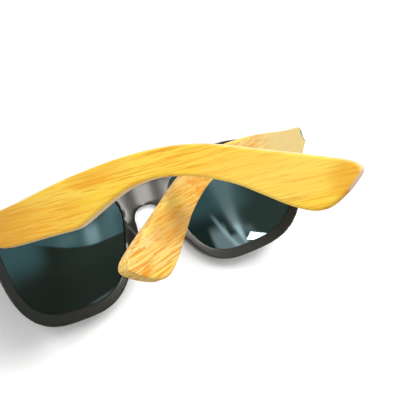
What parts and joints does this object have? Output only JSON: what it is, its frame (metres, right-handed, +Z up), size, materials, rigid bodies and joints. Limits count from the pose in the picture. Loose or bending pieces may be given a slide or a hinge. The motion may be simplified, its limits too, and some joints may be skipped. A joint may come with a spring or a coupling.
{
  "type": "sunglasses",
  "caption": "Sunglasses with a dark curved plastic front, moulded nose pads, grey-green tinted lenses and flat bamboo temples on sprung hinges, lying face down and part folded.",
  "frame": {"origin": "On the table, under the middle of the box round the whole part. The glasses lie face down and rest on the flat at the front of the bridge.", "axes": "+X to the wearer's right, +Y to the top of the frame, +Z up from the table, which is back towards the wearer"},
  "size_m": [0.1478, 0.0574, 0.1535],
  "materials": {
    "frame_plastic": "satin",
    "tinted_lens": "polished",
    "hinge_metal": "satin",
    "screw_metal": "satin",
    "bamboo": "oiled"
  },
  "bodies": {
    "front": {"front_frame": "frame_plastic", "left_lens": "tinted_lens", "right_lens": "tinted_lens", "left_hinge_leaf": "hinge_metal", "right_hinge_leaf": "hinge_metal", "left_leaf_rivets": "screw_metal", "right_leaf_rivets": "screw_metal", "left_hinge_screw": "screw_metal", "right_hinge_screw": "screw_metal"},
    "left_slide": {"left_carriage": "hinge_metal", "left_spring": "screw_metal", "left_spring_nut": "screw_metal"},
    "right_slide": {"right_carriage": "hinge_metal", "right_spring": "screw_metal", "right_spring_nut": "screw_metal"},
    "left_side": {"left_temple": "bamboo", "left_spring_box": "hinge_metal", "left_box_screws": "screw_metal"},
    "right_side": {"right_temple": "bamboo", "right_spring_box": "hinge_metal", "right_box_screws": "screw_metal"}
  },
  "joints": [
    {"name": "left_fold", "type": "hinge", "parent": "front", "child": "left_slide", "pos_m": [-0.0701, 0.01736, 0.0425], "axis": [-0.1582, -0.9874, 0], "range_deg": [-18, 42.5]},
    {"name": "right_fold", "type": "hinge", "parent": "front", "child": "right_slide", "pos_m": [0.0701, 0.01736, 0.0425], "axis": [-0.1582, 0.9874, 0], "range_deg": [-27, 63.8]},
    {"name": "left_flex", "type": "slide", "parent": "left_slide", "child": "left_side", "axis": [0.6011, -0.0963, 0.7934], "range_m": [0, 0.0015], "stiffness_N_per_m": 600, "springref_m": -0.002, "deforming": ["left_spring"]},
    {"name": "right_flex", "type": "slide", "parent": "right_slide", "child": "right_side", "axis": [-0.8374, -0.1341, 0.5299], "range_m": [0, 0.0015], "stiffness_N_per_m": 600, "springref_m": -0.002, "deforming": ["right_spring"]}
  ],
  "couplings": [
    {"joint": "right_fold", "follows": "left_fold", "ratio": 1.5}
  ]
}
